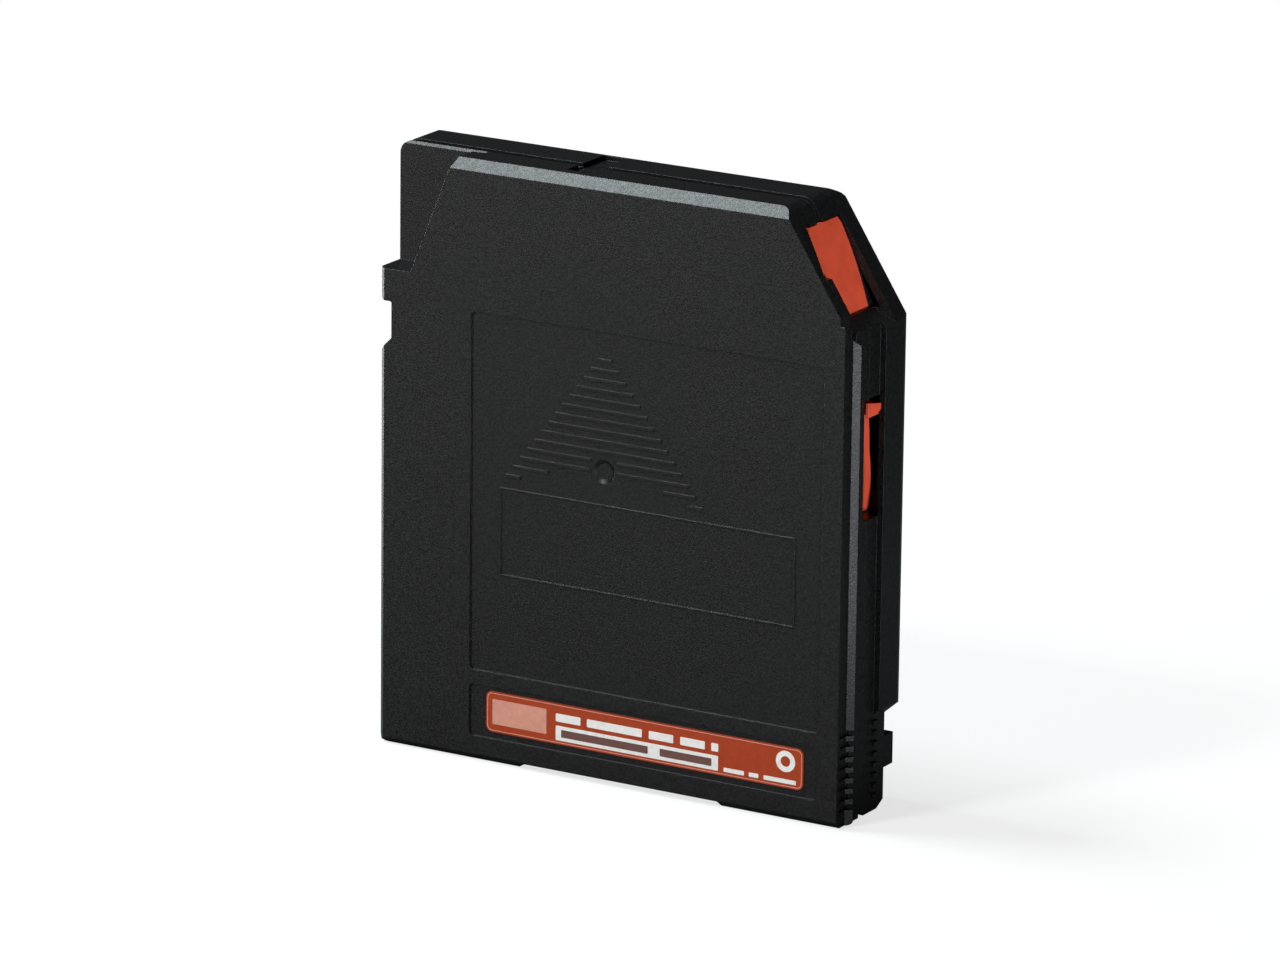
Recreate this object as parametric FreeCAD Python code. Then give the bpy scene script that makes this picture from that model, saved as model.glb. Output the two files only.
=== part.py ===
import FreeCAD, Part
import math
import os

# Data tape cartridge, half-inch single reel. Millimetres, +Z up.
# It stands on the edge with the label: label face towards -Y, hub face towards +Y, door corner at +X.

os.makedirs("parts", exist_ok=True)
V = FreeCAD.Vector

# Reel and tape, which the case is built round
flange_r = 47.5
pack_r = flange_r - 3.5
hub_r = 22.0
hub_in_r = hub_r - 2.2
flange_t = 1.1
tape_w = 12.65
tape_play = 0.15
gap = 0.3

# Case
case_w = 2 * flange_r + 14.0
case_d = tape_w + 11.85
case_h = 2 * flange_r + 30.0
plate = 1.75
hub_plate = 2.0
wall = 1.8
corner_r = 2.0
nose_r = 2.6
face_y = -case_d / 2
hub_y = case_d / 2
left_x = -case_w / 2
right_x = case_w / 2
in_front = face_y + plate
in_rear = hub_y - hub_plate
reel_x = left_x + flange_r + 5.6
reel_z = flange_r + 17.8
tape_y = face_y + 11.35

# Seam between the two halves, sunk as a shadow groove
seam_y = face_y + 10.05
seam_w = 1.0
seam_deep = 0.8

# Chamfered door corner
cham_x = 15.6
cham_z = 24.0

# Bevels round the case
front_bevel = 1.36
nose_drop = 2.0
nose_run = 2.4
rear_nose_drop = 2.4
rear_nose_run = 4.9
rear_run = 2.7
rear_drop = 1.1

# Notch in the left side
notch_top = case_h - 31.5
notch_bottom = case_h - 39.1
notch_deep = 3.1

# Cut-back corner at the left of the leading edge
back_y = face_y + 8.15
back_foot_x = left_x + 7.6
back_head_x = left_x + 17.4
back_z = case_h - 24.8

# Right side: stepped lip, channel, grip ribs and the stepped corner of the hub side
lip_in = 1.3
lip_step = 3.35
lip_top = case_h - 21.9
channel_y0 = face_y + 4.65
channel_y1 = face_y + 14.45
channel_deep = 1.3
step_y = hub_y - 5.35
step_x = right_x - 4.3
step_top = 17.5
step_slope = 0.87
hook_x = right_x - 2.2
hook_z0 = 7.3
hook_z1 = 13.9
rib_pitch = 2.2
rib_gap = 1.1
rib_first = 3.75
rib_count = 8

# Recesses of the label face
panel_x0 = left_x + 22.0
panel_x1 = right_x - 5.7
panel_z0 = 19.3
panel_z1 = case_h - 30.8
panel_deep = 0.5
label_z0 = 5.3
label_z1 = 16.3
label_gap_x = 4.0
label_gap_z = 1.4
label_t = 0.25
frame_x0 = panel_x0 + 6.8
frame_x1 = panel_x1 - 6.15
frame_z0 = reel_z - 25.3
frame_z1 = reel_z - 6.8
ridge_w = 0.35
ridge_h = 0.3

# Arrow of raised ribs on the label face, frame line and centre dimple
arrow_rows = 14
arrow_half = 0.48 * flange_r
arrow_tip = 1.6
arrow_top = reel_z + 23.0
arrow_pitch = 0.044 * flange_r
arrow_line = 0.7
arrow_rise = 0.35
dimple_r = 2.5

# Notch in the leading edge
nose_notch_x = reel_x - 11.8
nose_notch_w = 5.4
nose_notch_deep = 1.0

# Drive end of the hub
drive_r = 17.6
opening_r = drive_r + 0.7
drive_y0 = hub_y - 1.75
tooth_h = 1.0
tooth_in_r = 14.3
drive_teeth = 36
lock_teeth = 24
lock_tooth_h = 0.75
lock_y = drive_y0 - 1.2 - lock_tooth_h - gap - 1.3
lock_r0 = 12.0
lock_r1 = 15.0
lock_disc_t = 1.7
disc_in_r = 3.5
disc_out_r = 13.5
disc_t = 0.6
leg_r = 1.5
leg_circle = 7.6

# Door: a curved shutter on a curved track
door_r = 85.4
door_t = 1.0
door_x = right_x - door_r - 2.9
door_z = case_h - 45.0
door_y0 = tape_y - tape_w / 2
door_y1 = tape_y + tape_w / 2
door_top = case_h - 4.7
door_foot = case_h - 37.0
tab_z0 = case_h - 42.2
tab_z1 = case_h - 39.2
tab_y0 = tape_y - 2.6
tab_y1 = tape_y + 2.6
tab_x = right_x - 0.6
tab_t = 0.6
tail_t = 0.5
slot_z0 = case_h - 63.5
slot_z1 = tab_z1 + 0.5
slot_y1 = tape_y + 6.3
tail_end = slot_z0 - 2.0
sill_z = case_h - 22.2
spring_x = right_x - 3.8
spring_y = hub_y - 4.25
spring_foot = slot_z0 - 11.5
finger_z0 = door_foot + 3.0
finger_z1 = finger_z0 + 2.0

# Leader pin
pin_x = right_x - 17.5
pin_z = case_h - 12.5
pin_half = tape_w / 2 + 2.275
pin_end_r = 2.4
pin_body_r = 1.3

# Screws
screw_r = 1.2
screw_hole = 1.25
screw_clear = 1.45
head_r = 2.6
head_h = 1.6
boss_r = 3.3
screw_spots = {
    "screw_lower_left": (left_x + 6.6, 13.0),
    "screw_lower_right": (right_x - 10.0, 12.5),
    "screw_upper_left": (left_x + 25.0, case_h - 6.4),
    "screw_upper_right": (right_x - 31.0, case_h - 5.6),
}

# Write-protect slider
slider_x0 = left_x + 2.1
slider_w = 17.4
slider_knob = 5.0
slider_travel = 5.5
slider_y0 = hub_y - 10.75
slider_y1 = slider_y0 + 5.0


def loop(points, y):
    """Closed wire at depth y through (x, z, radius) corners, each one rounded by its radius."""
    ends = []
    count = len(points)
    for i in range(count):
        x, z, r = points[i]
        here = V(x, y, z)
        back = (V(points[i - 1][0], y, points[i - 1][1]) - here).normalize()
        ahead = (V(points[(i + 1) % count][0], y, points[(i + 1) % count][1]) - here).normalize()
        if r <= 0:
            ends.append((here, None, here))
            continue
        half = back.getAngle(ahead) / 2
        mid = (back + ahead).normalize()
        reach = r / math.tan(half)
        top = here + mid * (r / math.sin(half) - r)
        ends.append((here + back * reach, top, here + ahead * reach))
    edges = []
    for i in range(count):
        start, top, end = ends[i]
        if top is not None:
            edges.append(Part.Arc(start, top, end).toShape())
        follow = ends[(i + 1) % count][0]
        if end.distanceToPoint(follow) > 1e-6:
            edges.append(Part.makeLine(end, follow))
    return Part.Wire(edges)


def prism(points, y0, y1):
    """Solid between two depths over an outline of (x, z) or (x, z, radius) corners."""
    full = [p if len(p) == 3 else (p[0], p[1], 0) for p in points]
    return Part.Face(loop(full, y0)).extrude(V(0, y1 - y0, 0))


def block(x0, x1, y0, y1, z0, z1):
    return Part.makeBox(x1 - x0, y1 - y0, z1 - z0, V(x0, y0, z0))


def rod(x, z, r, y0, y1):
    return Part.makeCylinder(r, y1 - y0, V(x, y0, z), V(0, 1, 0))


def tube(x, z, r0, r1, y0, y1):
    return rod(x, z, r1, y0, y1).cut(rod(x, z, r0, y0 - 1, y1 + 1))


def band(r0, r1, y0, y1, z0, z1):
    """Piece of the door's curved track between two radii, two depths and two heights."""
    ring = tube(door_x, door_z, r0, r1, y0, y1)
    return ring.common(block(door_x + door_r / 3, right_x + 20, y0 - 1, y1 + 1, z0, z1))


def bevel(p, q, y, side, run, drop):
    """Cutting wedge along the outline edge p-q of the face at depth y; run goes in depth, drop goes inwards."""
    a = V(p[0], y, p[1])
    along = (V(q[0], y, q[1]) - a).normalize()
    out = along.cross(V(0, 1, 0)) * -1
    over = 0.3
    corners = (
        (-drop * (1 + over), side * over * run),
        (drop * over, -side * (1 + over) * run),
        (drop * over + 2, side * (over * run + 2)),
    )
    spots = [a - along * 3 + out * n + V(0, d, 0) for n, d in corners]
    face = Part.Face(Part.makePolygon(spots + spots[:1]))
    reach = a.distanceToPoint(V(q[0], y, q[1])) + 6
    return face.extrude(along * reach)


def spin(profile, x, z):
    """Solid of revolution about the Y axis through (x, z) from (radius, y) corners."""
    spots = [V(x + r, y, z) for r, y in profile]
    face = Part.Face(Part.makePolygon(spots + spots[:1]))
    return face.revolve(V(x, 0, z), V(0, 1, 0), 360)


def teeth(x, z, count, r0, r1, base, tip):
    """Ring of tapered radial teeth that rise from depth base to depth tip."""
    step = 2 * math.pi / count
    rise = 1 if tip > base else -1
    sink = base - rise * 0.1
    ring = []
    for i in range(count):
        sections = []
        for r in (r0, r1):
            foot = r * step * 0.34
            crown = r * step * 0.14
            sections.append(
                Part.makePolygon([
                    V(x + r, sink, z - foot), V(x + r, sink, z + foot), V(x + r, tip, z + crown),
                    V(x + r, tip, z - crown), V(x + r, sink, z - foot),
                ])
            )
        tooth = Part.makeLoft(sections, True, True)
        tooth.rotate(V(x, 0, z), V(0, 1, 0), 360.0 * i / count)
        ring.append(tooth)
    return ring


def coil(axis_point, axis, mean_r, wire_r, length, turns):
    """Coil spring from axis_point along axis."""
    helix = Part.makeHelix((length - 2 * wire_r) / turns, length - 2 * wire_r, mean_r)
    section = Part.Wire(Part.makeCircle(wire_r, V(mean_r, 0, 0), V(0, 1, 0)))
    spring = Part.Wire(helix).makePipeShell([section], True, True)
    spring.translate(V(0, 0, wire_r))
    turn = FreeCAD.Rotation(V(0, 0, 1), axis)
    spring.Placement = FreeCAD.Placement(axis_point, turn).multiply(spring.Placement)
    return spring


def fuse(first, others):
    return first.fuse(others).removeSplitter() if others else first


def save(name, shape):
    shape.exportStep("parts/%s.step" % name)


# Outline of the case, anticlockwise from the lower left
foot_l = (left_x, 0)
foot_r = (right_x, 0)
side_top = (right_x, case_h - cham_z)
nose_right = (right_x - cham_x, case_h)
nose_left = (left_x, case_h)
notch_x = left_x + notch_deep
outline = [
    (*foot_l, corner_r), (*foot_r, corner_r / 2), (*side_top, 1.5), (*nose_right, nose_r), (*nose_left, nose_r),
    (left_x, notch_top, 1.0), (notch_x, notch_top, 0.4), (notch_x, notch_bottom, 0.4),
    (left_x, notch_bottom - notch_deep, 0.6),
]


def inset(extra):
    return [
        (left_x + extra, extra, 1.0), (right_x - extra, extra, 1.0),
        (right_x - extra, case_h - cham_z - extra * 0.3, 1.0),
        (right_x - cham_x - extra * 0.6, case_h - extra, 1.0), (left_x + extra, case_h - extra, 1.5),
        (left_x + extra, notch_top + extra, 0.5), (notch_x + extra, notch_top + extra, 0.5),
        (notch_x + extra, notch_bottom - extra * 0.4, 0.5),
        (left_x + extra, notch_bottom - notch_deep - extra * 0.4, 0.5),
    ]


# Door track: the right wall is solid outside the door's curve
track_r = door_r + gap
guide_r = door_r - door_t - gap
right_in = right_x - channel_deep - 3.3
step_high = step_top + step_slope * (right_x - step_x)
track_z0 = door_z - math.sqrt(track_r ** 2 - (right_in - door_x) ** 2)
track = block(right_in, right_x, face_y, hub_y, 0, track_z0 + 0.01)
track = track.fuse(
    block(right_x - 28.0, right_x, face_y, hub_y, track_z0, sill_z).cut(
        rod(door_x, door_z, track_r, face_y - 1, hub_y + 1)
    )
)
track = track.fuse(block(step_x - 1.6, right_x, step_y - 1.6, hub_y, 0, step_high + 1.0))
sill = prism([
    (right_x - 16, sill_z), (right_x - 5.2, sill_z), (right_x + 2, sill_z - 3.2), (right_x + 6, case_h - 14),
    (nose_right[0] + 8, case_h), (nose_right[0] + 2.6, door_top + gap), (right_x - 18, door_top + gap),
], in_front, door_y1 + gap)
sill_block = prism([
    (right_x - 16, sill_z), (right_x - 5.2, sill_z), (right_x + 2, sill_z - 3.2), (right_x + 6, case_h - 14),
    (nose_right[0] - 2, door_z + 31.5), (right_x - 18, door_z + 31.5),
], in_front - 0.1, face_y + 4.0)
corner_post = block(nose_right[0] - 1.6, right_x, face_y, hub_y, door_top + gap, case_h)
cavity = prism(inset(wall), in_front, in_rear).cut(track).cut(corner_post)
opening = sill.cut(sill_block)

# Slot in the floor of the side channel, through which the door's tab and tail show
floor_x = right_x - channel_deep
slot = block(right_in - 2, floor_x, tab_y0 - gap, slot_y1, slot_z0, slot_z1)
channel = block(floor_x, right_x + 1, channel_y0, channel_y1, -1, case_h - cham_z + 3)
lip = Part.Face(Part.makePolygon([
    V(right_x - lip_in, face_y - 1, -1), V(right_x - lip_in, face_y + lip_step, -1),
    V(right_x + 0.1, face_y + lip_step + lip_in + 0.1, -1), V(right_x + 2, face_y + lip_step + lip_in + 0.1, -1),
    V(right_x + 2, face_y - 1, -1), V(right_x - lip_in, face_y - 1, -1),
])).extrude(V(0, 0, case_h - cham_z + 5.0))
lip_end = Part.Face(Part.makePolygon([
    V(right_x - 2.4, face_y - 1, lip_top + 1), V(right_x - 2.4, channel_y0, lip_top + face_y - channel_y0),
    V(right_x - 2.4, channel_y0, case_h), V(right_x - 2.4, face_y - 1, case_h),
    V(right_x - 2.4, face_y - 1, lip_top + 1),
])).extrude(V(5, 0, 0))
seam = Part.Face(loop([(x, z, 0) for x, z, r in outline], seam_y - seam_w)).extrude(V(0, 2 * seam_w, 0))
seam = seam.cut(prism([
    (left_x + seam_deep, seam_deep, 1.5), (right_x - seam_deep, seam_deep, 1.5),
    (right_x - seam_deep, case_h - cham_z - 0.3, 1.0), (nose_right[0] - 0.5, case_h - seam_deep, 2.0),
    (left_x + seam_deep, case_h - seam_deep, 2.0), (left_x + seam_deep, notch_top + seam_deep, 0.5),
    (notch_x + seam_deep, notch_top + seam_deep, 0.4), (notch_x + seam_deep, notch_bottom - 0.3, 0.4),
    (left_x + seam_deep, notch_bottom - notch_deep - 0.3, 0.5),
], seam_y - 2 * seam_w, seam_y + 2 * seam_w))
nose_notch = block(nose_notch_x, nose_notch_x + nose_notch_w, face_y + 4.7, hub_y - rear_nose_run - 0.4,
                   case_h - nose_notch_deep, case_h + 1)
clip_z = (label_z0 + label_z1) / 2


def make_upper_shell():
    body = prism(outline, face_y, seam_y)
    body = body.cut(cavity)
    tools = [
        bevel(foot_l, foot_r, face_y, -1, front_bevel, front_bevel),
        bevel(nose_left, foot_l, face_y, -1, front_bevel, front_bevel),
        bevel(nose_right, nose_left, face_y, -1, nose_run, nose_drop),
        lip, lip_end, channel, slot, opening, nose_notch, seam,
    ]
    body = body.cut(tools)

    # Cut-back corner, floored and walled from inside
    line = [(left_x - 2, back_z), (back_foot_x, back_z), (back_head_x + 0.9, case_h + 2), (left_x - 2, case_h + 2)]
    lined = [(left_x, back_z - wall), (back_foot_x + wall, back_z - wall), (back_head_x + 1.0 + wall, case_h),
             (left_x, case_h)]
    liner = prism(lined, in_front - 0.2, seam_y).common(prism(outline, face_y + 1, seam_y))
    lined_in = [(left_x + wall, back_z), (back_foot_x, back_z), (back_head_x + 1.0, case_h - wall),
                (left_x + wall, case_h - wall)]
    liner = liner.cut(prism(lined_in, back_y + plate, seam_y + 1))
    body = body.fuse(liner)
    body = body.cut([
        prism(line, face_y - 1, back_y),
        bevel(nose_right, nose_left, face_y, -1, nose_run, nose_drop),
        bevel((back_head_x, case_h), nose_left, back_y, -1, 0.7, 0.5),
        seam,
    ])

    # Recesses and grip of the label face
    deep = panel_deep
    body = body.cut([
        prism([(panel_x0, panel_z0, 1.2), (panel_x1, panel_z0, 1.2), (panel_x1, panel_z1, 1.2),
               (panel_x0, panel_z1, 1.2)], face_y - 1, face_y + deep),
        prism([(panel_x0, label_z0, 1.2), (panel_x1, label_z0, 1.2), (panel_x1, label_z1, 1.2),
               (panel_x0, label_z1, 1.2)], face_y - 1, face_y + deep),
        prism([(left_x + 33.0, -1), (right_x - 28.0, -1), (right_x - 28.8, 1.05), (left_x + 33.8, 1.05)],
              face_y - 1, seam_y - 4.0),
    ])
    grooves = []
    for i in range(rib_count):
        z = rib_first + i * rib_pitch
        grooves.append(block(right_x - 1.9, right_x + 1, face_y + 1.05, channel_y0 + 0.1,
                             z - rib_gap / 2, z + rib_gap / 2))
    body = body.cut(grooves)

    # Arrow of raised ribs, thin frame line and centre dimple
    ridges = []
    floor_y = face_y + deep
    for i in range(arrow_rows):
        z = arrow_top - i * arrow_pitch
        half = arrow_tip + i * (arrow_half - arrow_tip) / (arrow_rows - 1)
        spans = [(-half, half)]
        if i == 10:
            spans = [(-half, -2.9), (2.9, half)]
        if i == 11:
            spans = [(-half, -3.1), (3.1, half)]
        if i == 12:
            spans = [(-half, -0.27 * flange_r), (0.29 * flange_r, half)]
        if i == 13:
            spans = [(-half, -0.41 * flange_r), (0.41 * flange_r, half)]
        for a, b in spans:
            ridges.append(block(reel_x + a, reel_x + b, floor_y - arrow_rise, floor_y + 0.1,
                                z - arrow_line / 2, z + arrow_line / 2))
    outer = prism([(frame_x0, frame_z0), (frame_x1, frame_z0), (frame_x1, frame_z1), (frame_x0, frame_z1)],
                  floor_y - ridge_h, floor_y + 0.1)
    inner = prism([(frame_x0 + ridge_w, frame_z0 + ridge_w), (frame_x1 - ridge_w, frame_z0 + ridge_w),
                   (frame_x1 - ridge_w, frame_z1 - ridge_w), (frame_x0 + ridge_w, frame_z1 - ridge_w)],
                  floor_y - 1, floor_y + 1)
    ridges.append(outer.cut(inner))
    body = body.fuse(ridges)
    body = body.cut(spin([(0, face_y - 1), (dimple_r, face_y - 1), (dimple_r, floor_y),
                          (dimple_r - 0.8, floor_y + 0.55), (0, floor_y + 0.55)], reel_x, reel_z))

    # Inside: lock-button key, reel stop ring, reel wall, door rail, pin socket and screw bosses
    arm = 4.2
    key_y1 = lock_y - 6.15
    inside = [
        block(reel_x - arm, reel_x + arm, in_front - 0.3, key_y1, reel_z - 0.9, reel_z + 0.9),
        block(reel_x - 0.9, reel_x + 0.9, in_front - 0.3, key_y1, reel_z - arm, reel_z + arm),
        tube(reel_x, reel_z, 13.4, 14.6, in_front - 0.3, in_front + 1.3),
        band(door_r - door_t, door_r, in_front - 0.3, door_y0 - gap, door_z - 22, door_top + gap + 0.2),
    ]
    guard = tube(reel_x, reel_z, flange_r + 1.1, flange_r + 2.3, in_front - 0.3, seam_y)
    guard = guard.common(block(left_x + wall, reel_x + 18, face_y, seam_y, wall, reel_z + 20))
    inside.append(guard)
    socket = tube(pin_x, pin_z, pin_end_r + 0.55, pin_end_r + 1.7, in_front - 0.3, in_front + 2.4)
    inside.append(socket.cut(block(pin_x, pin_x + 9, face_y, 0, pin_z - 3.1, pin_z + 3.1)))
    for x, z in screw_spots.values():
        inside.append(rod(x, z, boss_r - 0.4, in_front - 0.3, seam_y))
    body = body.fuse(inside)
    holes = [rod(x, z, screw_hole, in_front + 0.9, seam_y + 1) for x, z in screw_spots.values()]
    return body.cut(holes).removeSplitter()


def make_lower_shell():
    body = prism(outline, seam_y, hub_y)
    body = body.cut(cavity)
    over = right_x + 2
    over_z = step_high + 2 * step_slope
    tools = [
        channel, slot, opening, nose_notch, seam,
        prism([(floor_x, -1), (over, -1), (over, over_z), (floor_x, step_high - step_slope * channel_deep)],
              channel_y1 - 0.01, step_y + 0.01),
        prism([(step_x, -1), (over, -1), (over, over_z), (step_x, step_top), (step_x, hook_z1), (hook_x, hook_z1),
               (hook_x, hook_z0), (step_x, hook_z0 - 1.3)], step_y, hub_y + 1),
        bevel((step_x, 0), foot_r, step_y, 1, rear_run, 1.4),
        bevel(foot_l, foot_r, hub_y, 1, rear_run, rear_drop),
        bevel(nose_left, foot_l, hub_y, 1, rear_run, rear_drop),
        bevel(foot_r, side_top, hub_y, 1, rear_run, rear_drop),
        bevel(side_top, nose_right, hub_y, 1, rear_run, rear_drop),
        bevel(nose_right, nose_left, hub_y, 1, rear_nose_run, rear_nose_drop),
    ]
    body = body.cut(tools)

    # Small grip ribs on the floor behind the channel
    inside = []
    for i in range(rib_count):
        z = rib_first + i * rib_pitch - 0.4
        inside.append(block(floor_x - 0.2, floor_x + 0.8, channel_y1 - 0.9, channel_y1 + 0.9, z - 0.4, z + 0.4))

    # Inside: reel land, reel wall, door rails, door guide, screw posts, locating sockets, chip and slider ribs
    land_y = in_rear - 1.65
    inside.append(tube(reel_x, reel_z, opening_r, hub_r, land_y, in_rear + 0.3))
    guard = tube(reel_x, reel_z, flange_r + 1.1, flange_r + 2.3, seam_y, in_rear + 0.3)
    inside.append(guard.common(block(left_x + wall, reel_x + 18, seam_y, hub_y, wall, reel_z + 20)))
    inside.append(band(door_r - door_t, door_r, door_y1 + gap, in_rear + 0.3, finger_z1 + 1.0, door_top + gap + 0.2))
    inside.append(band(door_r - door_t, door_r, door_y1 + gap, in_rear + 0.3, door_z - 40, door_z - 15))
    inside.append(band(guide_r - 1.05, guide_r, seam_y, in_rear + 0.3, door_z - 22, door_z + 18))
    for x, z in screw_spots.values():
        inside.append(rod(x, z, boss_r, seam_y, in_rear + 0.3))
    peg_l = (left_x + 10.4, 25.0)
    peg_r = (right_x - 11.0, 23.0)
    inside.append(rod(*peg_l, 3.9, in_rear - 3.4, in_rear + 0.3))
    inside.append(prism([(peg_r[0] - 4.9, peg_r[1] - 3.8, 3.7), (peg_r[0] + 4.9, peg_r[1] - 3.8, 3.7),
                         (peg_r[0] + 4.9, peg_r[1] + 3.8, 3.7), (peg_r[0] - 4.9, peg_r[1] + 3.8, 3.7)],
                        in_rear - 3.4, in_rear + 0.3))
    socket = tube(pin_x, pin_z, pin_end_r + 0.55, pin_end_r + 1.7, tape_y + pin_half - 1.6, in_rear + 0.3)
    socket = socket.fuse(rod(pin_x, pin_z, pin_end_r + 1.4, tape_y + pin_half + gap, in_rear + 0.3))
    inside.append(socket.cut(block(pin_x, pin_x + 9, 0, tape_y + pin_half + gap, pin_z - 3.1, pin_z + 3.1)))
    for x in (chip_x0 + 1.6, chip_x0 + chip_w - 2.8):
        wedge = Part.Face(Part.makePolygon([
            V(x, in_rear + 0.2, wall - 0.2), V(x, in_rear + 0.2, wall + chip_leg), V(x, in_rear, wall + chip_leg),
            V(x, in_rear - chip_leg, wall), V(x, in_rear - chip_leg, wall - 0.2), V(x, in_rear + 0.2, wall - 0.2),
        ]))
        inside.append(wedge.extrude(V(1.2, 0, 0)))
    for x in (slider_x0 + 1.6, slider_x0 + slider_w - 3.4):
        inside.append(block(x, x + 1.2, slider_y0 - 0.4, in_rear + 0.3, slider_top + gap, slider_top + gap + 1.3))
    body = body.fuse(inside)

    # Hub opening, locating holes, screw holes, slider window and the door spring's pocket
    cuts = [
        rod(reel_x, reel_z, opening_r, 0, hub_y + 1),
        spin([(opening_r - 0.5, hub_y + 0.5), (opening_r + 1.9, hub_y + 0.5), (opening_r + 1.4, hub_y),
              (opening_r - 0.5, hub_y - 1.0)], reel_x, reel_z),
        rod(*peg_l, 2.6, in_rear - 2.2, hub_y + 1),
        prism([(peg_r[0] - 3.6, peg_r[1] - 2.6, 2.55), (peg_r[0] + 3.6, peg_r[1] - 2.6, 2.55),
               (peg_r[0] + 3.6, peg_r[1] + 2.6, 2.55), (peg_r[0] - 3.6, peg_r[1] + 2.6, 2.55)],
              in_rear - 2.2, hub_y + 1),
        block(slider_x0 + 5.3, slider_x0 + 5.3 + slider_knob + slider_travel + 2 * gap, slider_y0, slider_y1,
              -1, wall + 0.1),
        block(spring_x - 1.6, spring_x + 1.6, spring_y - 1.7, spring_y + 1.7, spring_foot, finger_z1 + 0.8),
    ]
    for x, z in screw_spots.values():
        cuts.append(rod(x, z, screw_clear, seam_y - 1, hub_y))
        cuts.append(rod(x, z, head_r + 0.4, in_rear, hub_y + 1))
    return body.cut(cuts).removeSplitter()


# Memory chip on its sloping ribs
chip_x0 = right_x - 27.0
chip_w = 13.0
chip_leg = 9.0
chip_h = 8.0
chip_t = 0.8
slider_top = wall + gap + 1.4


def make_chip():
    board = block(0, chip_w, -chip_h / 2, chip_h / 2, 0, chip_t)
    board = board.fuse(block(4.5, 8.5, -2.0, 2.0, chip_t, chip_t + 0.5))
    board = board.cut([block(0.7, chip_w - 0.7, -chip_h / 2 + 0.6, -chip_h / 2 + 0.9, chip_t - 0.08, chip_t + 1),
                       block(0.7, chip_w - 0.7, chip_h / 2 - 0.9, chip_h / 2 - 0.6, chip_t - 0.08, chip_t + 1)])
    board.rotate(V(0, 0, 0), V(1, 0, 0), 45)
    board.translate(V(chip_x0, in_rear - chip_leg / 2, wall + chip_leg / 2))
    return board.removeSplitter()


def make_slider():
    base = block(slider_x0, slider_x0 + slider_w, slider_y0 - 0.6, slider_y1 + 0.6, wall + gap, slider_top)
    knob_x = slider_x0 + 5.3 + gap
    knob = block(knob_x, knob_x + slider_knob, slider_y0 + gap, slider_y1 - gap, 0.3, wall + gap + 0.1)
    ridges = [block(knob_x + 0.8 + i * 1.2, knob_x + 1.4 + i * 1.2, slider_y0, slider_y1, 0.1, 0.6) for i in range(3)]
    return base.fuse(knob).cut(ridges).removeSplitter()


def make_door():
    tilt = 1.2
    panel = band(door_r - door_t, door_r, door_y0, door_y1, door_foot, door_top)
    panel = panel.common(Part.Face(Part.makePolygon([
        V(0, door_y0, door_foot), V(0, door_y1, door_foot), V(0, door_y1, door_top - tilt),
        V(0, door_y1 - tilt, door_top + 1), V(0, door_y0 + tilt, door_top + 1), V(0, door_y0, door_top - tilt),
        V(0, door_y0, door_foot),
    ])).extrude(V(right_x + 5, 0, 0)))
    neck = band(door_r - door_t, door_r, tape_y - 0.8, tape_y + 2.1, tab_z0, door_foot + 1)
    tail = band(door_r - tail_t, door_r, door_y0, door_y1, tail_end, tab_z0 + 1.0)
    tail = tail.common(Part.Face(Part.makePolygon([
        V(0, tape_y + 0.2, tab_z0 + 2), V(0, tape_y + 1.5, tab_z0 + 2), V(0, tape_y + 2.6, tab_z0 - 7.8),
        V(0, tape_y + 4.7, slot_z0 + 6.4), V(0, slot_y1 - gap, slot_z0 + 2.5), V(0, slot_y1 - gap, tail_end),
        V(0, tape_y + 4.6, tail_end), V(0, tape_y + 2.0, slot_z0 + 7.2), V(0, tape_y + 0.2, tab_z0 - 5.8),
        V(0, tape_y + 0.2, tab_z0 + 2),
    ])).extrude(V(right_x + 5, 0, 0)))
    stem = block(right_x - 8.3, tab_x, tape_y - 0.8, tape_y + 1.6, tab_z0, tab_z1 - 0.9)
    stem = stem.cut(rod(door_x, door_z, door_r - door_t / 2, face_y, hub_y))
    head = Part.Face(Part.makePolygon([
        V(tab_x - tab_t, tab_y0, tab_z1), V(tab_x - tab_t, tab_y1, tab_z1 - 1.0), V(tab_x - tab_t, tab_y1, tab_z1 - 2.1),
        V(tab_x - tab_t, tab_y1 - 1.6, tab_z0), V(tab_x - tab_t, tab_y0, tab_z0), V(tab_x - tab_t, tab_y0, tab_z1),
    ])).extrude(V(tab_t, 0, 0))
    finger = band(door_r - door_t, door_r, door_y1 - 1.0, spring_y + 1.3, finger_z0, finger_z1)
    lips = []
    for i in range(3):
        z = door_foot + 8 + i * 2.0
        lips.append(band(door_r - 0.2, door_r + 0.0, door_y0 + 2, door_y1 - 2, z, z + 0.6))
    return panel.fuse([neck, tail, stem, head, finger]).cut(lips).removeSplitter()


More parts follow.
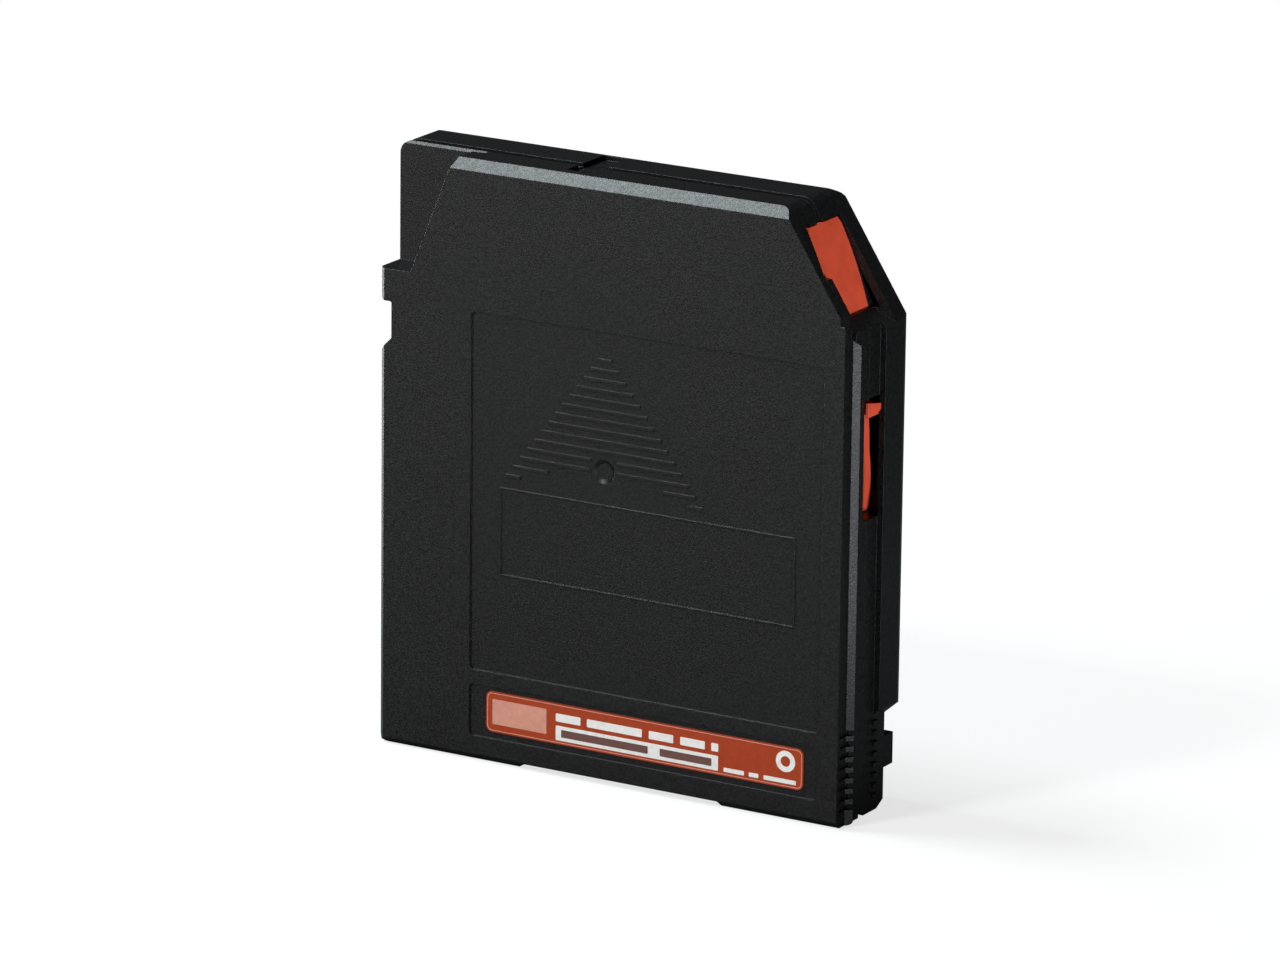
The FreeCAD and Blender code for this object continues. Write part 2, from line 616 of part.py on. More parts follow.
def make_hub():
    web_y = drive_y0 - 1.2
    low_y = tape_y + tape_w / 2 + tape_play
    top_y = tape_y - tape_w / 2 - tape_play
    shoulder_y = in_rear - 1.65 - gap
    body = spin([
        (hub_in_r, top_y), (hub_r, top_y), (hub_r, low_y), (flange_r, low_y), (flange_r, low_y + flange_t * 0.7),
        (flange_r - 0.6, low_y + flange_t), (hub_r - 0.4, low_y + flange_t), (hub_r - 0.4, shoulder_y),
        (drive_r, shoulder_y), (drive_r, drive_y0 + tooth_h - 0.3), (drive_r - 0.3, drive_y0 + tooth_h),
        (drive_r - 0.8, drive_y0 + tooth_h), (drive_r - 0.8, drive_y0), (2.2, drive_y0), (2.2, web_y),
        (16.2, web_y), (16.2, low_y + flange_t), (hub_in_r, low_y + flange_t - 1.0),
    ], reel_x, reel_z)
    legs = [rod(reel_x + leg_circle, reel_z, leg_r + 0.35, web_y - 1, drive_y0 + 1)]
    for i in (1, 2):
        leg = legs[0].copy()
        leg.rotate(V(reel_x, 0, reel_z), V(0, 1, 0), 120 * i)
        legs.append(leg)
    body = body.cut(legs)
    ring = teeth(reel_x, reel_z, drive_teeth, tooth_in_r, drive_r - 0.7, drive_y0, drive_y0 + tooth_h)
    ring += teeth(reel_x, reel_z, lock_teeth, lock_r0, lock_r1, web_y, web_y - lock_tooth_h)
    ribs = []
    for i in range(12):
        rib = block(reel_x + 16.1, reel_x + hub_in_r + 0.2, low_y - 4.5, low_y + 0.5, reel_z - 0.5, reel_z + 0.5)
        rib.rotate(V(reel_x, 0, reel_z), V(0, 1, 0), 30 * i)
        ribs.append(rib)
    return body.fuse(ring + ribs).removeSplitter()


def make_upper_flange():
    top_y = tape_y - tape_w / 2 - tape_play
    disc = spin([
        (hub_in_r - 1.6, top_y - flange_t), (flange_r - 0.6, top_y - flange_t), (flange_r, top_y - flange_t * 0.7),
        (flange_r, top_y), (hub_r - 0.6, top_y), (hub_in_r - 0.05, top_y), (hub_in_r - 0.05, top_y + 1.2),
        (hub_in_r - 1.6, top_y + 1.2),
    ], reel_x, reel_z)
    return disc


def make_drive_plate():
    y0 = drive_y0
    plate_ring = tube(reel_x, reel_z, disc_in_r, disc_out_r, y0, y0 + disc_t)
    holes = []
    for i in range(3):
        hole = rod(reel_x + leg_circle, reel_z, leg_r + 0.5, y0 - 1, y0 + 2)
        hole.rotate(V(reel_x, 0, reel_z), V(0, 1, 0), 120 * i)
        holes.append(hole)
    return plate_ring.cut(holes)


def make_release_pad():
    web_y = drive_y0 - 1.2
    top = web_y - gap - 1.1
    body = rod(reel_x, reel_z, 4.6, top, web_y - gap)
    for i in range(3):
        arm = block(reel_x, reel_x + leg_circle, top, web_y - gap, reel_z - 2.2, reel_z + 2.2)
        arm = arm.fuse([rod(reel_x + leg_circle, reel_z, 2.2, top, web_y - gap),
                        rod(reel_x + leg_circle, reel_z, leg_r, top, drive_y0 + 0.2),
                        spin_leg(drive_y0 + 0.2)])
        arm.rotate(V(reel_x, 0, reel_z), V(0, 1, 0), 120 * i)
        body = body.fuse(arm)
    return body.removeSplitter()


def spin_leg(y):
    tip = Part.makeCone(leg_r, leg_r - 0.5, 0.5, V(reel_x + leg_circle, y, reel_z), V(0, 1, 0))
    return tip


def make_brake():
    under = lock_y
    body = spin([
        (0, under + 0.55), (1.8, under + 0.55), (2.4, under), (lock_r1 + 0.2, under),
        (lock_r1 + 0.2, under - lock_disc_t), (6.6, under - lock_disc_t), (6.6, in_front + 3.0), (0, in_front + 3.0),
    ], reel_x, reel_z)
    arm = 4.5
    floor = under - 1.0
    body = body.cut([
        block(reel_x - arm, reel_x + arm, in_front + 2, floor, reel_z - 1.1, reel_z + 1.1),
        block(reel_x - 1.1, reel_x + 1.1, in_front + 2, floor, reel_z - arm, reel_z + arm),
    ])
    ring = teeth(reel_x, reel_z, lock_teeth, lock_r0 + 0.1, lock_r1 - 0.1, under, under + 1.3)
    return body.fuse(ring).removeSplitter()


def make_pin():
    lo = tape_y - pin_half
    hi = tape_y + pin_half
    return spin([
        (0, lo), (pin_end_r - 0.4, lo), (pin_end_r, lo + 0.4), (pin_end_r, lo + 1.6), (pin_body_r, lo + 2.1),
        (pin_body_r, hi - 2.1), (pin_end_r, hi - 1.6), (pin_end_r, hi - 0.4), (pin_end_r - 0.4, hi), (0, hi),
    ], pin_x, pin_z)


def make_clip():
    lo = tape_y - tape_w / 2 + 0.3
    clip = tube(pin_x, pin_z, pin_body_r + 0.05, pin_body_r + 0.85, lo, lo + tape_w - 0.6)
    mouth = block(pin_x - 4, pin_x, lo - 1, lo + tape_w, pin_z - 0.75, pin_z + 0.75)
    return clip.cut(mouth)


def leader_line():
    """Tangent from the tape pack to the leader pin: contact point and pin point."""
    dx = pin_x - reel_x
    dz = pin_z - reel_z
    reach = math.hypot(dx, dz)
    turn = math.atan2(dz, dx) + math.acos((pack_r + 0.25) / reach)
    return (reel_x + (pack_r + 0.25) * math.cos(turn), reel_z + (pack_r + 0.25) * math.sin(turn))


def make_leader():
    x0, z0 = leader_line()
    start = V(x0, 0, z0)
    end = V(pin_x, 0, pin_z)
    along = (end - start).normalize()
    up = V(-along.z, 0, along.x)
    stop = end - along * (pin_body_r + 0.05)
    t = 0.2
    lo = tape_y - tape_w / 2 + 0.05
    spots = [start, stop, stop + up * t, start + up * t]
    spots = [V(p.x, lo, p.z) for p in spots]
    return Part.Face(Part.makePolygon(spots + spots[:1])).extrude(V(0, tape_w - 0.1, 0))


def make_pin_spring(y0):
    """Hairpin of flat spring wire that grips the end of the leader pin."""
    t = 0.4
    r = pin_end_r + 0.05
    bend = tube(pin_x, pin_z, r, r + t, y0, y0 + 1.0)
    bend = bend.cut(block(pin_x, pin_x + 6, y0 - 1, y0 + 2, pin_z - 6, pin_z + 6))
    arms = []
    for side in (-1, 1):
        z = pin_z + side * (r + t / 2)
        arms.append(block(pin_x - 0.01, pin_x + 3.4, y0, y0 + 1.0, z - t / 2, z + t / 2))
    return bend.fuse(arms).removeSplitter()


def make_screw(x, z):
    top = in_rear + head_h
    tip = in_front + 1.6
    body = spin([
        (0, top), (head_r - 0.5, top), (head_r, top - 0.5), (head_r, in_rear), (screw_r, in_rear),
        (screw_r, tip + 1.0), (0, tip),
    ], x, z)
    cross = block(x - 1.6, x + 1.6, top - 0.8, top + 1, z - 0.35, z + 0.35)
    return body.cut([cross, block(x - 0.35, x + 0.35, top - 0.8, top + 1, z - 1.6, z + 1.6)])


def make_label():
    y1 = face_y + panel_deep
    x0 = panel_x0 + label_gap_x
    x1 = panel_x1 - label_gap_x + 0.6
    return prism([(x0, label_z0 + label_gap_z, 1.4), (x1, label_z0 + label_gap_z, 1.4),
                  (x1, label_z1 - label_gap_z + 0.4, 1.4), (x0, label_z1 - label_gap_z + 0.4, 1.4)], y1 - label_t, y1)


pack_y0 = tape_y - tape_w / 2
pack = tube(reel_x, reel_z, hub_r, pack_r, pack_y0, pack_y0 + tape_w)
lock_spring_l = lock_y - lock_disc_t - in_front

save("upper_shell", make_upper_shell())
save("lower_shell", make_lower_shell())
save("door", make_door())
save("label", make_label())
save("reel_hub", make_hub())
save("reel_upper_flange", make_upper_flange())
save("drive_plate", make_drive_plate())
save("tape_pack", pack)
save("leader_tape", make_leader())
save("leader_pin", make_pin())
save("pin_clip", make_clip())
save("pin_spring_upper", make_pin_spring(tape_y - pin_half + 0.3))
save("pin_spring_lower", make_pin_spring(tape_y + pin_half - 1.3))
save("brake_button", make_brake())
save("brake_spring", coil(V(reel_x, in_front, reel_z), V(0, 1, 0), 8.4, 0.5, lock_spring_l, 4))
save("release_pad", make_release_pad())
save("door_spring", coil(V(spring_x, spring_y, spring_foot), V(0, 0, 1), 1.15, 0.25, finger_z0 - spring_foot, 11))
save("write_protect_switch", make_slider())
save("memory_chip", make_chip())
for screw_name, spot in screw_spots.items():
    save(screw_name, make_screw(*spot))
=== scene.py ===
import math

import bmesh
import bpy
from bpy.props import FloatProperty, FloatVectorProperty, PointerProperty
from mathutils import Matrix, Vector


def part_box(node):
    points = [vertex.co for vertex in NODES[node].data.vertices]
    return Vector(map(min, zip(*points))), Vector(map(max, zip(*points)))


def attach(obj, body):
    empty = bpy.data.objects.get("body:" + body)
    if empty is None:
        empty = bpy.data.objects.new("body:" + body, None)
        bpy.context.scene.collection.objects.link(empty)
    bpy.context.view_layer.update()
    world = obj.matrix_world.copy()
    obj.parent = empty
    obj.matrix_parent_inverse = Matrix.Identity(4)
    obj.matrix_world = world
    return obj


bl_info = {
    "name": "Data Tape Cartridge Looks",
    "version": (1, 0, 0),
    "blender": (4, 5, 0),
    "location": "View3D > Sidebar > Cartridge",
    "description": "Finishes, label print and studio for a data tape cartridge",
    "category": "Object",
}

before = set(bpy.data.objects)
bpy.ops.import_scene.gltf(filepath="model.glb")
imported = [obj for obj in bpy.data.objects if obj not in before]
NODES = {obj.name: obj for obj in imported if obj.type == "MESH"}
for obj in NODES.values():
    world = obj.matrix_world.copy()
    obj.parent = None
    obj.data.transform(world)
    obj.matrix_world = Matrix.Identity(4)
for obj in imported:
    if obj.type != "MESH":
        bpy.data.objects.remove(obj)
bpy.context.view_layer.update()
MM = 0.001

# Axis of the reel, which runs along Y
REEL_X = -1.4 * MM
REEL_Z = 65.3 * MM

# Noise scales: a cell is about 1/scale metres wide
GRAIN_SCALE = 2600.0
# Painted sheen: light and dark dots in the case's colour stand in for the glints of its grain
SHEEN_SPECKLE_SCALE = 2400.0
GLOSS_SCALE = 1300.0
MARBLE_SCALE = 220.0
FLOW_SCALE = 60.0

# Most of a noise's values lie between these two
NOISE_LOW = 0.3
NOISE_HIGH = 0.7

# Radii by which the shading rounds the edges of plastic and of metal
PLASTIC_EDGE = 0.2 * MM
METAL_EDGE = 0.08 * MM

# Metals: colour, roughness and the run of their grain
METALS = {
    "zinc-plated steel": ((0.3, 0.3, 0.31), 0.38, "drawn"),
    "spring wire": ((0.5, 0.5, 0.5), 0.28, "drawn"),
    "lock spring wire": ((0.5, 0.5, 0.5), 0.28, "drawn"),
    "flat spring wire": ((0.52, 0.52, 0.53), 0.25, "drawn"),
    "polished pin": ((0.7, 0.7, 0.71), 0.14, "drawn"),
    "stamped steel": ((0.56, 0.57, 0.58), 0.3, "rings"),
}

# Plain print of the label in millimetres: name, ink, layer, bottom, top, and left and right end of each bar
PRINT_FIELDS = (
    ("corner_field", "pale", 0, 8.4, 13.7, ((-27.0, -14.2),)),
    ("title", "white", 0, 11.5, 13.2, ((-12.0, -6.2), (-4.7, 8.2), (9.8, 15.5), (17.1, 22.8), (24.3, 25.9))),
    ("bar", "white", 0, 7.55, 10.65, ((-12.0, 25.9),)),
    ("bar_words", "dark", 1, 8.3, 9.9, ((-10.7, 9.6), (12.4, 24.4))),
    ("note", "white", 0, 7.6, 8.5, ((27.2, 31.9), (33.0, 35.2), (36.4, 43.8))),
)
LABEL_CORNER = 1.4 * MM
CORNER_SEGMENTS = 6
ROUND_SEGMENTS = 64
FLOOR_SEGMENTS = 96
SAME_PLACE = 1e-7

# Softboxes: name, place, side, colour and whether gloss shows them; their powers are settings of the stage
PURE_WHITE = (1.0, 1.0, 1.0)
LAMPS = (
    ("key", (-0.69, -0.14, 1.36), 0.44, (0.9, 1.0, 1.02), True),
    ("right", (1.2, -0.7, -0.02), 0.3, (0.94, 0.98, 1.0), True),
    ("front", (-0.95, -1.6, 0.28), 0.7, PURE_WHITE, True),
    ("left", (-1.3, 0.12, 0.02), 0.4, PURE_WHITE, True),
    ("high", (-0.45, -1.0, 1.25), 0.22, PURE_WHITE, True),
    ("back", (-0.3, 1.7, 0.2), 0.4, PURE_WHITE, False),
)
LAMP_AIM = Vector((0.0, 0.0, 0.06))


# Materials

def shade(colour, factor):
    """The colour, lighter or darker by this factor."""
    return tuple(min(1.0, channel * factor) for channel in colour)


def opaque(colour):
    """The colour with an alpha of 1."""
    return (*colour, 1.0)


def grey(level):
    """A neutral colour with an alpha of 1."""
    return (level, level, level, 1.0)


class Nodes:
    """Adds nodes to one tree and feeds their sockets."""

    def __init__(self, tree):
        self.tree = tree

    def add(self, kind, inputs=None, **settings):
        """New node with these settings, and with a value or another node's output for each input given."""
        node = self.tree.nodes.new(kind)
        for key, value in settings.items():
            setattr(node, key, value)
        for key, value in (inputs or {}).items():
            self.feed(node.inputs[key], value)
        return node

    def feed(self, socket, value):
        """Links an output to the socket, or sets the socket's own value."""
        if isinstance(value, bpy.types.NodeSocket):
            self.tree.links.new(value, socket)
        else:
            socket.default_value = value


class Finish(Nodes):
    """A material in the making: one principled shader and the noise, bump and edge nodes that feed it."""

    def __init__(self, name, colour, roughness, metallic=0.0, specular=0.5):
        self.material = bpy.data.materials.new(name)
        self.material.use_nodes = True
        super().__init__(self.material.node_tree)
        self.shader = self.tree.nodes["Principled BSDF"]
        self.give("Base Color", opaque(colour))
        self.give("Roughness", roughness)
        self.give("Metallic", metallic)
        self.give("Specular IOR Level", specular)
        self.place = self.add("ShaderNodeTexCoord").outputs["Object"]
        self.normal = None

    def give(self, key, value):
        """Gives an input of the shader a value or an output."""
        self.feed(self.shader.inputs[key], value)

    def noise(self, scale, detail, stretch=None):
        """Value of a noise, stretched along the axes where a stretch is given."""
        place = self.place
        if stretch:
            place = self.add("ShaderNodeMapping", {"Scale": stretch, "Vector": place}).outputs["Vector"]
        node = self.add("ShaderNodeTexNoise", {"Scale": scale, "Detail": detail, "Vector": place})
        return node.outputs["Fac"]

    def rings(self, scale):
        """Value of fine circles about the reel's axis."""
        centred = self.add("ShaderNodeMapping", {"Location": (-REEL_X, 0.0, -REEL_Z), "Vector": self.place})
        wave = self.add(
            "ShaderNodeTexWave", {"Scale": scale, "Distortion": 0.0, "Vector": centred.outputs["Vector"]},
            wave_type="RINGS", rings_direction="Y")
        return wave.outputs["Fac"]

    def spread(self, value, low, high):
        """Stretches a noise's usual values to the range from low to high."""
        node = self.add("ShaderNodeMapRange", {
            "Value": value, "From Min": NOISE_LOW, "From Max": NOISE_HIGH, "To Min": low, "To Max": high})
        return node.outputs["Result"]

    def vary_roughness(self, value, low, high):
        """Lets the roughness follow a value."""
        self.give("Roughness", self.spread(value, low, high))

    def vary_colour(self, value, first, second):
        """Lets the colour follow a value."""
        share = self.spread(value, 0.0, 1.0)
        node = self.add(
            "ShaderNodeMix", {"A": opaque(first), "B": opaque(second), "Factor": share}, data_type="RGBA")
        self.give("Base Color", node.outputs["Result"])

    def soften_edges(self, radius):
        """Rounds every edge in the shading by this radius."""
        self.normal = self.add("ShaderNodeBevel", {"Radius": radius}, samples=6).outputs["Normal"]
        self.give("Normal", self.normal)

    def bump(self, value, depth, strength=1.0):
        """Raises the surface by up to this depth where the value is high."""
        inputs = {"Distance": depth, "Strength": strength, "Height": value}
        if self.normal is not None:
            inputs["Normal"] = self.normal
        self.normal = self.add("ShaderNodeBump", inputs).outputs["Normal"]
        self.give("Normal", self.normal)


def moulded(name, colour, roughness, specular=0.5, grain=0.006 * MM, sheen_speckle=0.0):
    """Injection-moulded plastic: fine spark-eroded grain, flow marks, soft edges, and either marbling or a
    painted sheen speckle, light and dark dots in the colour that stand in for the glints of the grain.
    """
    flow_depth, flow_strength, gloss_spread = 0.02 * MM, 0.25, 0.03
    finish = Finish(name, colour, roughness, specular=specular)
    finish.soften_edges(PLASTIC_EDGE)
    finish.bump(finish.noise(GRAIN_SCALE, detail=3.0), grain)
    finish.bump(finish.noise(FLOW_SCALE, detail=1.0), flow_depth, flow_strength)
    gloss = finish.noise(GLOSS_SCALE, detail=3.0)
    finish.vary_roughness(gloss, roughness - gloss_spread, roughness + gloss_spread)
    # Painted sheen speckle: light and dark dots in the base colour stand in for the glints of the grain
    if sheen_speckle:
        sheen_dots = finish.noise(SHEEN_SPECKLE_SCALE, detail=3.0)
        finish.vary_colour(sheen_dots, shade(colour, 1.0 - sheen_speckle), shade(colour, 1.0 + sheen_speckle))
    else:
        finish.vary_colour(finish.noise(MARBLE_SCALE, detail=4.0), shade(colour, 0.9), shade(colour, 1.12))
    return finish.material


def metal(name):
    """Metal with its turned or drawn grain and a few duller patches."""
    turned_scale, drawn_scale, patch_scale, tone_scale = 2600.0, 3000.0, 900.0, 300.0
    along_y = (1.0, 0.05, 1.0)
    colour, roughness, grain = METALS[name]
    finish = Finish(name, colour, roughness, metallic=1.0)
    finish.soften_edges(METAL_EDGE)
    if grain == "rings":
        lines = finish.rings(turned_scale)
    else:
        lines = finish.noise(drawn_scale, detail=2.0, stretch=along_y)
    finish.bump(lines, 0.0015 * MM)
    finish.vary_roughness(finish.noise(patch_scale, detail=3.0), roughness - 0.06, roughness + 0.08)
    finish.vary_colour(finish.noise(tone_scale, detail=2.0), shade(colour, 0.88), colour)
    return finish.material


def coated_paper(name, colour):
    """Printed label stock under a thin clear film."""
    fibre_scale, film_scale, tone_scale = 5000.0, 500.0, 900.0
    finish = Finish(name, colour, roughness=0.42, specular=0.3)
    finish.bump(finish.noise(fibre_scale, detail=4.0), 0.004 * MM)
    finish.vary_roughness(finish.noise(film_scale, detail=2.0), 0.36, 0.5)
    finish.vary_colour(finish.noise(tone_scale, detail=5.0), shade(colour, 0.92), shade(colour, 1.06))
    return finish.material


def wound_tape(name, colour):
    """Edge of many layers of tape: fine circles, some of them prouder, paler or duller than others."""
    layer_scale, step_scale, tone_scale, gloss_scale = 1900.0, 230.0, 120.0, 75.0
    finish = Finish(name, colour, roughness=0.3)
    finish.bump(finish.rings(layer_scale), 0.006 * MM)
    finish.bump(finish.rings(step_scale), 0.01 * MM)
    finish.vary_colour(finish.rings(tone_scale), shade(colour, 0.7), shade(colour, 1.5))
    finish.vary_roughness(finish.rings(gloss_scale), 0.22, 0.4)
    return finish.material


def dress(node, material):
    """Gives a CAD node its finish."""
    mesh = NODES[node].data
    mesh.materials.clear()
    mesh.materials.append(material)


# Pieces

def new_piece(name, build, material, body="shell"):
    """Makes a piece from what build draws in an empty bmesh, and hangs it on a body."""
    mesh = bpy.data.meshes.new(name)
    bm = bmesh.new()
    build(bm)
    bmesh.ops.remove_doubles(bm, verts=bm.verts[:], dist=SAME_PLACE)
    bmesh.ops.recalc_face_normals(bm, faces=bm.faces[:])
    bm.to_mesh(mesh)
    bm.free()
    mesh.materials.append(material)
    piece = bpy.data.objects.new(name, mesh)
    bpy.context.scene.collection.objects.link(piece)
    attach(piece, body)


def thicken(bm, faces, thick):
    """Gives flat faces a thickness towards -Y."""
    new = bmesh.ops.extrude_face_region(bm, geom=faces)
    moved = [g for g in new["geom"] if isinstance(g, bmesh.types.BMVert)]
    bmesh.ops.translate(bm, verts=moved, vec=(0, -thick, 0))


def flat_plate(bm, x0, x1, z0, z1, y, thick, corner, rim=0.0):
    """Thin plate with rounded corners on a face towards -Y, its back at depth y; only its rim, if given."""
    others = set(bm.faces)
    verts = bmesh.ops.create_grid(bm, x_segments=1, y_segments=1, size=0.5)["verts"]
    bmesh.ops.scale(bm, verts=verts, vec=(x1 - x0, z1 - z0, 1))
    bmesh.ops.transform(bm, verts=verts, matrix=Matrix.Rotation(math.pi / 2, 4, "X"))
    bmesh.ops.translate(bm, verts=verts, vec=((x0 + x1) / 2, y, (z0 + z1) / 2))
    bmesh.ops.bevel(
        bm, geom=verts, offset=corner, affect="VERTICES", segments=CORNER_SEGMENTS, profile=0.5, material=-1)
    faces = [face for face in bm.faces if face not in others]
    if rim:
        ring = bmesh.ops.inset_region(
            bm, faces=faces, thickness=rim, use_even_offset=True, use_boundary=True)["faces"]
        bmesh.ops.delete(bm, geom=faces, context="FACES")
        faces = ring
    thicken(bm, faces, thick)


def flat_ring(bm, x, z, radius, hole, y, thick):
    """Thin ring on a face towards -Y, its back at depth y."""
    place = Matrix.Translation((x, y, z)) @ Matrix.Rotation(math.pi / 2, 4, "X")
    rim = bmesh.ops.create_circle(bm, segments=ROUND_SEGMENTS, radius=radius, matrix=place)["verts"]
    edges = list({edge for vert in rim for edge in vert.link_edges})
    ring = bmesh.ops.extrude_edge_only(bm, edges=edges)["geom"]
    inner = [g for g in ring if isinstance(g, bmesh.types.BMVert)]
    bmesh.ops.scale(
        bm, verts=inner, vec=(hole / radius, 1, hole / radius), space=Matrix.Translation((-x, -y, -z)))
    thicken(bm, bm.faces[:], thick)


# Settings

class CARTRIDGE_PG_finishes(bpy.types.PropertyGroup):
    case: FloatVectorProperty(
        name="Case", description="Colour of the moulded case",
        subtype="COLOR", size=3, default=(0.0068, 0.0068, 0.0071))
    case_roughness: FloatProperty(
        name="Case roughness", description="Roughness of the case's grain",
        subtype="FACTOR", default=0.39, min=0.1, max=0.9)
    door: FloatVectorProperty(
        name="Door", description="Colour of the door",
        subtype="COLOR", size=3, default=(0.74, 0.086, 0.037))
    label: FloatVectorProperty(
        name="Label", description="Colour of the label",
        subtype="COLOR", size=3, default=(0.33, 0.038, 0.006))
    print_white: FloatVectorProperty(
        name="Print", description="Colour of the label's white print",
        subtype="COLOR", size=3, default=(0.74, 0.73, 0.7))
    print_pale: FloatVectorProperty(
        name="Pale print", description="Colour of the label's fainter print",
        subtype="COLOR", size=3, default=(0.58, 0.26, 0.19))
    print_dark: FloatVectorProperty(
        name="Dark print", description="Colour of the print on the white bar",
        subtype="COLOR", size=3, default=(0.13, 0.06, 0.05))
    hub: FloatVectorProperty(
        name="Hub", description="Colour of the reel's moulded parts",
        subtype="COLOR", size=3, default=(0.55, 0.56, 0.55))
    lock: FloatVectorProperty(
        name="Lock", description="Colour of the lock button",
        subtype="COLOR", size=3, default=(0.6, 0.6, 0.57))
    pad: FloatVectorProperty(
        name="Pad", description="Colour of the release pad",
        subtype="COLOR", size=3, default=(0.55, 0.55, 0.52))
    clip: FloatVectorProperty(
        name="Clip", description="Colour of the clip on the leader pin",
        subtype="COLOR", size=3, default=(0.7, 0.69, 0.65))
    tape: FloatVectorProperty(
        name="Tape", description="Colour of the tape's edge",
        subtype="COLOR", size=3, default=(0.03, 0.02, 0.017))
    switch: FloatVectorProperty(
        name="Switch", description="Colour of the write-protect switch",
        subtype="COLOR", size=3, default=(0.42, 0.035, 0.02))
    board: FloatVectorProperty(
        name="Board", description="Colour of the memory chip's board",
        subtype="COLOR", size=3, default=(0.02, 0.12, 0.05))


class CARTRIDGE_PG_print(bpy.types.PropertyGroup):
    thickness: FloatProperty(
        name="Ink height", description="How proud the print stands",
        subtype="DISTANCE", default=0.03 * MM)
    corner: FloatProperty(
        name="Field corners", description="Corner radius of the printed fields",
        subtype="DISTANCE", default=0.2 * MM)
    mark_x: FloatProperty(
        name="Mark across", description="Middle of the round mark, across",
        subtype="DISTANCE", default=41.35 * MM)
    mark_z: FloatProperty(
        name="Mark up", description="Middle of the round mark, up",
        subtype="DISTANCE", default=12.2 * MM)
    mark_radius: FloatProperty(
        name="Mark radius", description="Radius of the round mark",
        subtype="DISTANCE", default=2.2 * MM)
    mark_hole: FloatProperty(
        name="Mark hole", description="Share of the round mark's radius that is open",
        subtype="FACTOR", default=0.5, min=0.1, max=0.9)
    outline_inset: FloatProperty(
        name="Outline inset", description="From the label's edge to its outline",
        subtype="DISTANCE", default=0.3 * MM)
    outline_width: FloatProperty(
        name="Outline width", description="Width of the label's outline",
        subtype="DISTANCE", default=0.15 * MM)


class CARTRIDGE_PG_stage(bpy.types.PropertyGroup):
    floor_radius: FloatProperty(
        name="Floor", description="Radius of the floor",
        subtype="DISTANCE", default=0.34)
    key_power: FloatProperty(
        name="Key light", description="Power of the softbox overhead",
        subtype="POWER", default=22.5)
    right_power: FloatProperty(
        name="Right light", description="Power of the softbox at the right",
        subtype="POWER", default=15.0)
    front_power: FloatProperty(
        name="Front light", description="Power of the large softbox in front",
        subtype="POWER", default=11.5)
    left_power: FloatProperty(
        name="Left light", description="Power of the softbox at the left",
        subtype="POWER", default=22.0)
    high_power: FloatProperty(
        name="High light", description="Power of the small softbox high in front",
        subtype="POWER", default=13.0)
    back_power: FloatProperty(
        name="Back light", description="Power of the softbox behind",
        subtype="POWER", default=24.0)
    fill: FloatProperty(
        name="Fill", description="Brightness of the surroundings in front",
        subtype="FACTOR", default=0.2, min=0.0, max=2.0)
    fill_behind: FloatProperty(
        name="Fill behind", description="Brightness of the surroundings behind",
        subtype="FACTOR", default=0.02, min=0.0, max=2.0)


# Operators

class CARTRIDGE_OT_case(bpy.types.Operator):
    """Finish both halves of the case and its screws"""
    bl_idname = "cartridge.case"
    bl_label = "Case"

    def execute(self, context):
        look = context.scene.cartridge_finishes
        # The strong speckle here is painted sheen: dots in the case's colour that stand in for the glints of
        # its grain
        black = moulded(
            "case black", look.case, look.case_roughness, specular=0.24, grain=0.04 * MM, sheen_speckle=0.9)
        dress("upper_shell", black)
        dress("lower_shell", black)
        steel = metal("zinc-plated steel")
        for node in NODES:
            if node.startswith("screw_"):
                dress(node, steel)
        return {"FINISHED"}


class CARTRIDGE_OT_door(bpy.types.Operator):
    """Finish the sliding door and its spring"""
    bl_idname = "cartridge.door"
    bl_label = "Door"

    def execute(self, context):
        look = context.scene.cartridge_finishes
        dress("door", moulded("door orange", look.door, roughness=0.5, grain=0.003 * MM))
        dress("door_spring", metal("spring wire"))
        return {"FINISHED"}


class CARTRIDGE_OT_label(bpy.types.Operator):
    """Finish the label and lay its plain print on it"""
    bl_idname = "cartridge.label"
    bl_label = "Label"

    def execute(self, context):
        look = context.scene.cartridge_finishes
        lay = context.scene.cartridge_print
        dress("label", coated_paper("label rust", look.label))
        inks = {
            "white": coated_paper("print white", look.print_white),
            "pale": coated_paper("print pale", look.print_pale),
            "dark": coated_paper("print dark", look.print_dark),
        }
        low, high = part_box("label")

        for name, ink, layer, z0, z1, spans in PRINT_FIELDS:
            def bars(bm):
                back = low.y - layer * lay.thickness
                for x0, x1 in spans:
                    flat_plate(bm, x0 * MM, x1 * MM, z0 * MM, z1 * MM, back, lay.thickness, lay.corner)
            new_piece("label_" + name, bars, inks[ink])

        def mark(bm):
            hole = lay.mark_radius * lay.mark_hole
            flat_ring(bm, lay.mark_x, lay.mark_z, lay.mark_radius, hole, low.y, lay.thickness)
        new_piece("label_mark", mark, inks["white"])

        def outline(bm):
            inset = lay.outline_inset
            flat_plate(
                bm, low.x + inset, high.x - inset, low.z + inset, high.z - inset, low.y, lay.thickness,
                LABEL_CORNER - inset, lay.outline_width)
        new_piece("label_outline", outline, inks["pale"])
        return {"FINISHED"}


class CARTRIDGE_OT_reel(bpy.types.Operator):
    """Finish the reel, its lock, its drive plate and the wound tape"""
    bl_idname = "cartridge.reel"
    bl_label = "Reel"

    def execute(self, context):
        look = context.scene.cartridge_finishes
        dress("reel_hub", moulded("hub grey", look.hub, roughness=0.42))
        dress("reel_upper_flange", moulded("flange grey", look.hub, roughness=0.4))
        dress("drive_plate", metal("stamped steel"))
        dress("tape_pack", wound_tape("tape edge", look.tape))
        dress("leader_tape", wound_tape("leader tape", look.tape))
        dress("brake_button", moulded("lock natural", look.lock, roughness=0.4))
        dress("release_pad", moulded("pad natural", look.pad, roughness=0.4))
        dress("brake_spring", metal("lock spring wire"))
        return {"FINISHED"}


